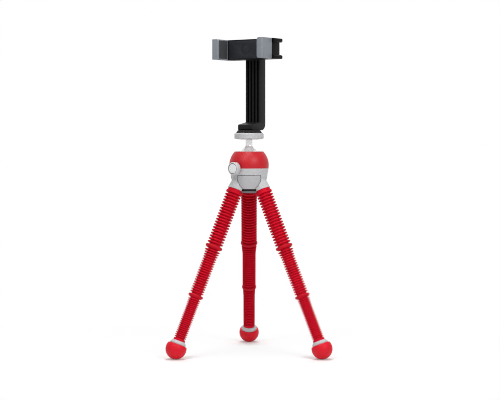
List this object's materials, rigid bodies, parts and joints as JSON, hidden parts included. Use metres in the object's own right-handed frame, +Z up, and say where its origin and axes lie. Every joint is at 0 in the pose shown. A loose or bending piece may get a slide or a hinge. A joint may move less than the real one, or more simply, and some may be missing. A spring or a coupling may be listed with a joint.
{
  "type": "flexible leg tripod",
  "caption": "Small tripod with ribbed bendable legs, round rubber feet, a locking ball head and an L-shaped arm that carries a sprung phone clamp with an accessory shoe.",
  "frame": {"origin": "on the floor, on the hub's vertical centre line, between the three feet", "axes": "+Z up along the centre line; +X along the phone clamp towards the accessory shoe; the phone's back faces +Y and its screen -Y"},
  "size_m": [0.1556, 0.1689, 0.3262],
  "materials": {
    "leg_red": "satin ribbed elastomer",
    "shell_red": "satin",
    "light_grey": "satin",
    "black_plastic": "fine matte",
    "jaw_grey": "satin",
    "liner_grey": "matte",
    "pad_black": "matte",
    "bright_metal": "polished",
    "steel": "turned",
    "brass": "turned",
    "nylon": "smooth",
    "link_black": "moulded"
  },
  "bodies": {
    "base": {"socket_bowl": "light_grey", "socket_dome": "shell_red", "web_panels": "light_grey", "base_cover": "black_plastic", "base_screws": "steel", "rear_hip": "link_black", "rear_upper_sleeve": "leg_red", "left_hip": "link_black", "left_upper_sleeve": "leg_red", "right_hip": "link_black", "right_upper_sleeve": "leg_red"},
    "seat": {"ball_seat": "nylon"},
    "ball_head": {"ball_stem": "bright_metal", "platform_disc": "light_grey", "platform_pad": "pad_black", "mount_stud": "steel"},
    "lock": {"lock_knob": "light_grey", "lock_screw": "steel", "brake_shoe": "nylon"},
    "arm": {"mount_arm": "black_plastic", "thread_insert": "brass", "pivot_washer": "nylon"},
    "clamp": {"clamp_housing": "black_plastic", "clamp_cover": "black_plastic", "pivot_cap": "black_plastic", "pivot_screw": "steel", "fixed_jaw": "jaw_grey", "fixed_jaw_liner": "liner_grey", "accessory_shoe": "black_plastic", "jaw_springs": "steel"},
    "jaw": {"moving_jaw": "jaw_grey", "moving_jaw_liner": "liner_grey", "guide_rods": "steel"},
    "rear_upper_link": {"rear_upper_link": "link_black"},
    "rear_knee": {"rear_knee_collar": "leg_red", "rear_middle_sleeve": "leg_red"},
    "rear_middle_link": {"rear_middle_link": "link_black"},
    "rear_ankle": {"rear_ankle_collar": "leg_red", "rear_lower_sleeve": "leg_red"},
    "rear_lower_link": {"rear_lower_link": "link_black"},
    "rear_foot": {"rear_foot_cap": "light_grey", "rear_foot": "leg_red"},
    "left_upper_link": {"left_upper_link": "link_black"},
    "left_knee": {"left_knee_collar": "leg_red", "left_middle_sleeve": "leg_red"},
    "left_middle_link": {"left_middle_link": "link_black"},
    "left_ankle": {"left_ankle_collar": "leg_red", "left_lower_sleeve": "leg_red"},
    "left_lower_link": {"left_lower_link": "link_black"},
    "left_foot": {"left_foot_cap": "light_grey", "left_foot": "leg_red"},
    "right_upper_link": {"right_upper_link": "link_black"},
    "right_knee": {"right_knee_collar": "leg_red", "right_middle_sleeve": "leg_red"},
    "right_middle_link": {"right_middle_link": "link_black"},
    "right_ankle": {"right_ankle_collar": "leg_red", "right_lower_sleeve": "leg_red"},
    "right_lower_link": {"right_lower_link": "link_black"},
    "right_foot": {"right_foot_cap": "light_grey", "right_foot": "leg_red"}
  },
  "joints": [
    {"name": "head_pan", "type": "hinge", "parent": "base", "child": "seat", "pos_m": [0, 0, 0.19635], "axis": [0, 0, 1], "continuous": true},
    {"name": "head_tilt", "type": "hinge", "parent": "seat", "child": "ball_head", "pos_m": [0, 0, 0.19635], "axis": [1, 0, 0], "range_deg": [-30, 30]},
    {"name": "lock_turn", "type": "hinge", "parent": "base", "child": "lock", "pos_m": [-0.00131, -0.02497, 0.19315], "axis": [-0.0523, -0.9986, 0], "range_deg": [0, 360]},
    {"name": "arm_swivel", "type": "hinge", "parent": "ball_head", "child": "arm", "pos_m": [0, 0, 0.23255], "axis": [0, 0, 1], "range_deg": [-90, 90]},
    {"name": "clamp_turn", "type": "hinge", "parent": "arm", "child": "clamp", "pos_m": [0, 0.0065, 0.31575], "axis": [0, 1, 0], "continuous": true},
    {"name": "jaw_slide", "type": "slide", "parent": "clamp", "child": "jaw", "axis": [-1, 0, 0], "range_m": [0, 0.036], "stiffness_N_per_m": 150, "springref_m": -0.03, "deforming": ["jaw_springs"]},
    {"name": "rear_upper_out", "type": "hinge", "parent": "base", "child": "rear_upper_link", "pos_m": [-0.01293, 0.01847, 0.15687], "axis": [0.8192, 0.5736, 0], "range_deg": [-22, 45], "deforming": ["rear_upper_sleeve"]},
    {"name": "rear_upper_side", "type": "hinge", "parent": "rear_upper_link", "child": "rear_knee", "pos_m": [-0.01999, 0.02855, 0.12831], "axis": [0.5268, -0.7523, -0.3955], "range_deg": [-40, 40], "deforming": ["rear_upper_sleeve"]},
    {"name": "rear_middle_out", "type": "hinge", "parent": "rear_knee", "child": "rear_middle_link", "pos_m": [-0.02709, 0.03868, 0.09958], "axis": [-0.8192, -0.5736, 0], "range_deg": [-40, 40], "deforming": ["rear_middle_sleeve"]},
    {"name": "rear_middle_side", "type": "hinge", "parent": "rear_middle_link", "child": "rear_ankle", "pos_m": [-0.03286, 0.04693, 0.07621], "axis": [-0.5268, 0.7523, 0.3955], "range_deg": [-40, 40], "deforming": ["rear_middle_sleeve"]},
    {"name": "rear_lower_out", "type": "hinge", "parent": "rear_ankle", "child": "rear_lower_link", "pos_m": [-0.03907, 0.0558, 0.05107], "axis": [0.8192, 0.5736, 0], "range_deg": [-40, 40], "deforming": ["rear_lower_sleeve"]},
    {"name": "rear_lower_side", "type": "hinge", "parent": "rear_lower_link", "child": "rear_foot", "pos_m": [-0.04445, 0.06348, 0.0293], "axis": [0.5268, -0.7523, -0.3955], "range_deg": [-40, 40], "deforming": ["rear_lower_sleeve"]},
    {"name": "left_upper_out", "type": "hinge", "parent": "base", "child": "left_upper_link", "pos_m": [-0.00953, -0.02044, 0.15687], "axis": [-0.9063, 0.4226, 0], "range_deg": [-22, 45], "deforming": ["left_upper_sleeve"]},
    {"name": "left_upper_side", "type": "hinge", "parent": "left_upper_link", "child": "left_knee", "pos_m": [-0.01473, -0.03159, 0.12831], "axis": [0.3882, 0.8324, -0.3955], "range_deg": [-40, 40], "deforming": ["left_upper_sleeve"]},
    {"name": "left_middle_out", "type": "hinge", "parent": "left_knee", "child": "left_middle_link", "pos_m": [-0.01996, -0.0428, 0.09958], "axis": [0.9063, -0.4226, 0], "range_deg": [-40, 40], "deforming": ["left_middle_sleeve"]},
    {"name": "left_middle_side", "type": "hinge", "parent": "left_middle_link", "child": "left_ankle", "pos_m": [-0.02421, -0.05192, 0.07621], "axis": [-0.3882, -0.8324, 0.3955], "range_deg": [-40, 40], "deforming": ["left_middle_sleeve"]},
    {"name": "left_lower_out", "type": "hinge", "parent": "left_ankle", "child": "left_lower_link", "pos_m": [-0.02879, -0.06174, 0.05107], "axis": [-0.9063, 0.4226, 0], "range_deg": [-40, 40], "deforming": ["left_lower_sleeve"]},
    {"name": "left_lower_side", "type": "hinge", "parent": "left_lower_link", "child": "left_foot", "pos_m": [-0.03275, -0.07023, 0.0293], "axis": [0.3882, 0.8324, -0.3955], "range_deg": [-40, 40], "deforming": ["left_lower_sleeve"]},
    {"name": "right_upper_out", "type": "hinge", "parent": "base", "child": "right_upper_link", "pos_m": [0.02246, 0.00197, 0.15687], "axis": [0.0872, -0.9962, 0], "range_deg": [-22, 45], "deforming": ["right_upper_sleeve"]},
    {"name": "right_upper_side", "type": "hinge", "parent": "right_upper_link", "child": "right_knee", "pos_m": [0.03472, 0.00304, 0.12831], "axis": [-0.915, -0.08, -0.3955], "range_deg": [-40, 40], "deforming": ["right_upper_sleeve"]},
    {"name": "right_middle_out", "type": "hinge", "parent": "right_knee", "child": "right_middle_link", "pos_m": [0.04704, 0.00412, 0.09958], "axis": [-0.0872, 0.9962, 0], "range_deg": [-40, 40], "deforming": ["right_middle_sleeve"]},
    {"name": "right_middle_side", "type": "hinge", "parent": "right_middle_link", "child": "right_ankle", "pos_m": [0.05707, 0.00499, 0.07621], "axis": [0.915, 0.08, 0.3955], "range_deg": [-40, 40], "deforming": ["right_middle_sleeve"]},
    {"name": "right_lower_out", "type": "hinge", "parent": "right_ankle", "child": "right_lower_link", "pos_m": [0.06786, 0.00594, 0.05107], "axis": [0.0872, -0.9962, 0], "range_deg": [-40, 40], "deforming": ["right_lower_sleeve"]},
    {"name": "right_lower_side", "type": "hinge", "parent": "right_lower_link", "child": "right_foot", "pos_m": [0.0772, 0.00675, 0.0293], "axis": [-0.915, -0.08, -0.3955], "range_deg": [-40, 40], "deforming": ["right_lower_sleeve"]}
  ]
}
